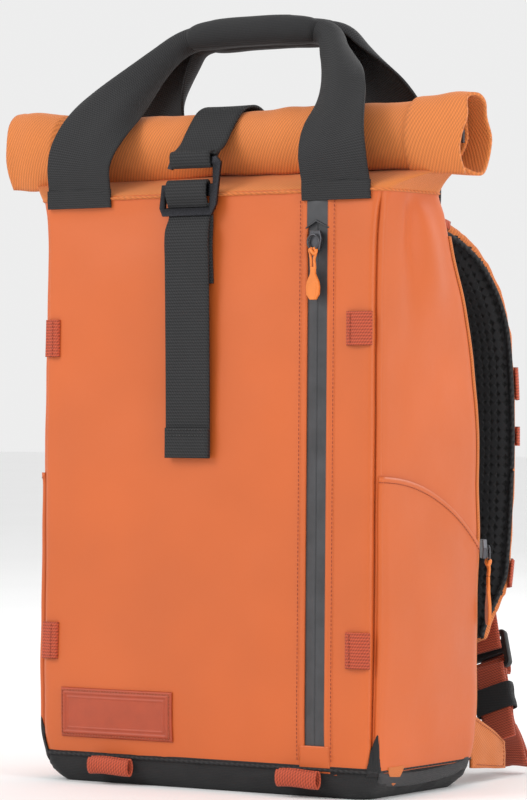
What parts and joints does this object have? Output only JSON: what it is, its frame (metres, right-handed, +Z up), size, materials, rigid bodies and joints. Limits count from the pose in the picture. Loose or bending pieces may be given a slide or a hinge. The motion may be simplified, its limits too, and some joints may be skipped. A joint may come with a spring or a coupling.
{
  "type": "roll-top backpack",
  "caption": "Roll-top backpack with upright carry handles, hook-and-strap closure, front zip, side pockets and padded shoulder straps.",
  "frame": {"origin": "centre of the flat underside", "axes": "+X towards the side with the front zip, -Y the front panel, +Y the shoulder straps, +Z up"},
  "size_m": [0.396, 0.2535, 0.5665],
  "materials": {
    "tarp": "matte coated cloth",
    "twill": "woven twill",
    "red_webbing": "ribbed webbing",
    "black_webbing": "ribbed webbing",
    "black_cloth": "woven cloth",
    "air_mesh": "spacer mesh",
    "zip_tape": "coated tape",
    "zip_metal": "satin",
    "hook_metal": "black anodised",
    "lock_plastic": "moulded",
    "pull_rubber": "soft moulded",
    "board": "plain sheet"
  },
  "bodies": {
    "pack": {"base_panel": "black_cloth", "base_stiffener": "board", "front_panel": "tarp", "front_panel_edge": "tarp", "front_zip_end_patch": "tarp", "front_zip_tape": "zip_tape", "front_zip_garage": "zip_tape", "side_panel_right": "tarp", "side_panel_left": "tarp", "side_pocket_right": "tarp", "side_pocket_left": "tarp", "corner_zip_right": "black_cloth", "corner_zip_left": "black_cloth", "back_panel": "black_cloth", "back_pad_upper": "air_mesh", "back_pad_lower": "air_mesh", "laptop_divider": "board", "back_frame_sheet": "board", "laptop_zip_tape": "zip_tape", "gear_loop_upper_right": "red_webbing", "gear_loop_upper_left": "red_webbing", "gear_loop_lower_right": "red_webbing", "gear_loop_lower_left": "red_webbing", "gear_loop_base_left": "red_webbing", "gear_loop_base_right": "red_webbing", "label_patch": "red_webbing", "collar": "twill", "roll_top": "twill", "roll_stiffener": "board", "closing_strap": "black_webbing", "closing_strap_anchor": "black_webbing", "lower_webbing_right": "red_webbing", "lower_webbing_left": "red_webbing", "anchor_wing_right": "twill", "anchor_wing_left": "twill"},
    "front_handle": {"front_handle_strap": "black_webbing", "front_handle_grip": "black_webbing"},
    "back_handle": {"back_handle_strap": "black_webbing", "back_handle_grip": "black_webbing"},
    "front_slider": {"front_zip_slider": "zip_metal"},
    "front_pull": {"front_zip_pull": "pull_rubber"},
    "laptop_slider": {"laptop_zip_slider": "zip_metal"},
    "laptop_pull": {"laptop_zip_pull": "pull_rubber"},
    "hook": {"closing_hook": "hook_metal"},
    "tail": {"closing_strap_tail": "black_webbing"},
    "strap_right": {"shoulder_strap_right": "twill", "shoulder_mesh_right": "air_mesh", "strap_loop_right": "red_webbing", "strap_end_right": "red_webbing", "ladder_lock_right": "lock_plastic", "webbing_tail_right": "red_webbing"},
    "strap_left": {"shoulder_strap_left": "twill", "shoulder_mesh_left": "air_mesh", "strap_loop_left": "red_webbing", "strap_end_left": "red_webbing", "ladder_lock_left": "lock_plastic", "webbing_tail_left": "red_webbing"},
    "keeper_right": {"keeper_right": "black_webbing"},
    "keeper_left": {"keeper_left": "black_webbing"}
  },
  "joints": [
    {"name": "front_handle_swing", "type": "hinge", "parent": "pack", "child": "front_handle", "pos_m": [0, -0.0765, 0.434], "axis": [1, 0, 0], "range_deg": [0, 145]},
    {"name": "back_handle_swing", "type": "hinge", "parent": "pack", "child": "back_handle", "pos_m": [0, 0.0185, 0.434], "axis": [-1, 0, 0], "range_deg": [0, 70]},
    {"name": "front_zip_slide", "type": "slide", "parent": "pack", "child": "front_slider", "axis": [0, -0.014, -0.9999], "range_m": [0, 0.325]},
    {"name": "front_pull_swing", "type": "hinge", "parent": "front_slider", "child": "front_pull", "pos_m": [0.097, -0.0811, 0.3985], "axis": [-1, 0, 0], "range_deg": [0, 150]},
    {"name": "laptop_zip_slide", "type": "slide", "parent": "pack", "child": "laptop_slider", "axis": [0, 0, 1], "range_m": [0, 0.09]},
    {"name": "laptop_pull_swing", "type": "hinge", "parent": "laptop_slider", "child": "laptop_pull", "pos_m": [0.15089, 0.07064, 0.1745], "axis": [0.7071, -0.7071, 0], "range_deg": [0, 150]},
    {"name": "hook_tilt", "type": "hinge", "parent": "pack", "child": "hook", "pos_m": [-0.01, -0.0775, 0.4555], "axis": [-1, 0, 0], "range_deg": [0, 12], "deforming": ["closing_strap_anchor"]},
    {"name": "tail_swing", "type": "hinge", "parent": "hook", "child": "tail", "pos_m": [-0.01, -0.0846, 0.424], "axis": [-1, 0, 0], "range_deg": [0, 120]},
    {"name": "shoulder_strap_swing_right", "type": "hinge", "parent": "pack", "child": "strap_right", "pos_m": [0.058, 0.037, 0.397], "axis": [1, 0, 0], "range_deg": [-2, 8], "deforming": ["lower_webbing_right"]},
    {"name": "keeper_slide_right", "type": "slide", "parent": "strap_right", "child": "keeper_right", "axis": [0.3605, -0.295, -0.8849], "range_m": [-0.01, 0]},
    {"name": "shoulder_strap_swing_left", "type": "hinge", "parent": "pack", "child": "strap_left", "pos_m": [-0.058, 0.037, 0.397], "axis": [1, 0, 0], "range_deg": [-2, 8], "deforming": ["lower_webbing_left"]},
    {"name": "keeper_slide_left", "type": "slide", "parent": "strap_left", "child": "keeper_left", "axis": [-0.3605, -0.295, -0.8849], "range_m": [-0.01, 0]}
  ]
}
